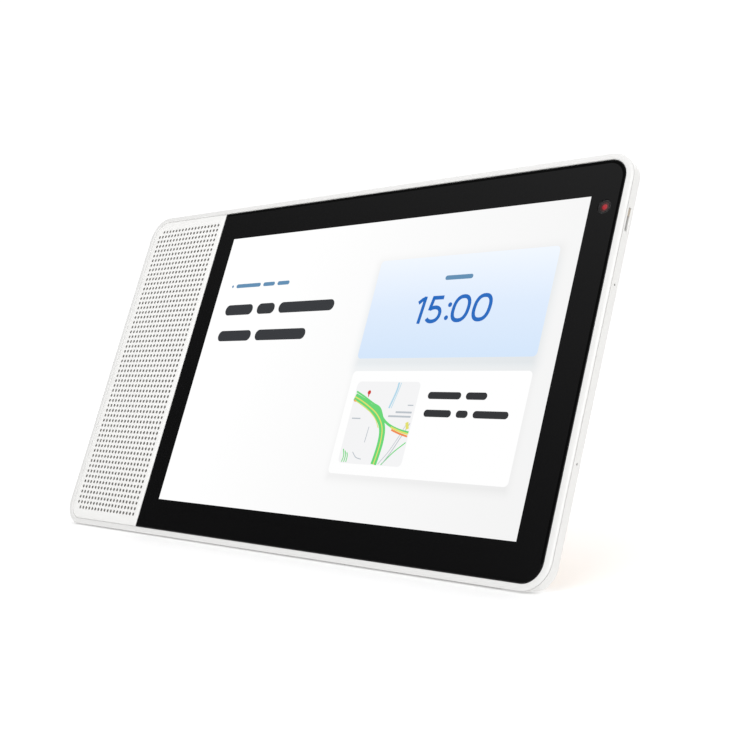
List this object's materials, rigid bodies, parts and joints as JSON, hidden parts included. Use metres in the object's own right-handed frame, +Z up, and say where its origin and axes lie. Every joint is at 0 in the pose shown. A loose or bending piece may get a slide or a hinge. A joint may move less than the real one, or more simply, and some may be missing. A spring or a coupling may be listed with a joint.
{
  "type": "smart display",
  "caption": "Leaning smart display: white frame, perforated speaker grille at one end, glass-fronted screen, sliding camera shutter and a wooden-backed wedge foot.",
  "frame": {"origin": "under the middle of the stand on the table, halfway along its width and its depth", "axes": "+X right along the front, +Y to the rear, +Z up; the screen faces -Y and leans back 20 degrees"},
  "size_m": [0.3114, 0.1358, 0.1621],
  "materials": {
    "bezel_white": "satin white moulded plastic",
    "grille_white": "matt white plate with a warm cast",
    "speaker_cloth": "dark acoustic cloth",
    "cover_glass": "polished glass, printed black behind its border",
    "adhesive": "black foam tape",
    "clear_bond": "clear optical adhesive",
    "display": "lit picture",
    "diffuser": "clear acrylic and white films",
    "tray_steel": "stamped bright steel",
    "middle_aluminium": "stamped aluminium",
    "circuit_board": "green solder mask",
    "chips": "black moulded packages",
    "flex": "amber polyimide",
    "connector": "natural nylon",
    "led": "phosphor",
    "black_plastic": "black moulded plastic",
    "lens": "coated lens",
    "mark": "red paint",
    "blade": "black spring steel strip",
    "knob": "beige plastic",
    "gasket": "black silicone",
    "screw_steel": "blackened steel",
    "can_steel": "tinned steel",
    "pad": "soft grey-blue thermal pad",
    "spreader": "anodised aluminium sheet",
    "lead": "insulated wire",
    "coax": "black coaxial lead",
    "button_white": "satin white plastic",
    "box_black": "black glass-filled plastic",
    "basket_steel": "black coated steel",
    "magnet": "sintered magnet",
    "yoke_steel": "zinc plated steel",
    "surround": "soft rubber",
    "spider": "doped cotton",
    "copper": "enamelled copper winding",
    "cone": "coated paper",
    "shell_white": "satin white moulded plastic",
    "back_wood": "fine straight-grained bamboo, satin lacquer",
    "foot_rubber": "light grey rubber"
  },
  "bodies": {
    "housing": {"front_bezel": "bezel_white", "grille_plate": "grille_white", "grille_cloth": "speaker_cloth", "cover_glass": "cover_glass", "glass_adhesive": "adhesive", "optical_bond": "clear_bond", "lcd_cell": "display", "light_guide": "diffuser", "backlight_tray": "tray_steel", "led_strip": "led", "display_driver": "circuit_board", "display_ribbon": "flex", "camera_sleeve": "black_plastic", "camera_lens": "lens", "camera_module": "black_plastic", "camera_board": "circuit_board", "camera_ribbon": "flex", "light_sensor": "chips", "side_microphones": "circuit_board", "top_microphones": "circuit_board", "microphone_gaskets": "gasket", "mid_plate": "middle_aluminium", "plate_screws": "screw_steel", "main_board": "circuit_board", "main_chips": "chips", "board_connectors": "connector", "shield_cans": "can_steel", "thermal_pads": "pad", "heat_spreader": "spreader", "board_screws": "screw_steel", "antennas": "flex", "antenna_leads": "coax", "button_board": "circuit_board", "tact_switches": "can_steel", "speaker_box": "box_black", "speaker_baffle": "box_black", "driver_basket": "basket_steel", "driver_magnet": "magnet", "driver_yoke": "yoke_steel", "driver_surround": "surround", "driver_spider": "spider", "radiator_surrounds": "surround", "speaker_lead": "lead", "rear_shell": "shell_white", "back_panel": "back_wood", "end_cap": "shell_white", "rubber_feet": "foot_rubber", "end_feet": "foot_rubber", "power_inlet": "black_plastic"},
    "shutter": {"shutter_blade": "blade", "shutter_mark": "mark", "shutter_knob": "knob"},
    "volume_down": {"volume_down_button": "button_white"},
    "volume_up": {"volume_up_button": "button_white"},
    "mute": {"mute_switch": "button_white"},
    "cone": {"driver_cone": "cone", "voice_coil": "copper", "dust_cap": "cone"},
    "upper_passive": {"upper_radiator": "cone"},
    "lower_passive": {"lower_radiator": "cone"}
  },
  "joints": [
    {"name": "shutter_slide", "type": "slide", "parent": "housing", "child": "shutter", "axis": [0, -0.342, -0.9397], "range_m": [0, 0.006]},
    {"name": "volume_down_press", "type": "slide", "parent": "housing", "child": "volume_down", "axis": [0, -0.342, -0.9397], "range_m": [0, 0.00035], "stiffness_N_per_m": 1500},
    {"name": "volume_up_press", "type": "slide", "parent": "housing", "child": "volume_up", "axis": [0, -0.342, -0.9397], "range_m": [0, 0.00035], "stiffness_N_per_m": 1500},
    {"name": "mute_slide", "type": "slide", "parent": "housing", "child": "mute", "axis": [1, 0, 0], "range_m": [0, 0.002]},
    {"name": "cone_travel", "type": "slide", "parent": "housing", "child": "cone", "axis": [0, -0.9397, 0.342], "range_m": [-0.0012, 0.0012], "stiffness_N_per_m": 2000},
    {"name": "upper_passive_travel", "type": "slide", "parent": "housing", "child": "upper_passive", "axis": [0, -0.9397, 0.342], "range_m": [-0.001, 0.001], "stiffness_N_per_m": 1500},
    {"name": "lower_passive_travel", "type": "slide", "parent": "housing", "child": "lower_passive", "axis": [0, -0.9397, 0.342], "range_m": [-0.001, 0.001], "stiffness_N_per_m": 1500}
  ]
}
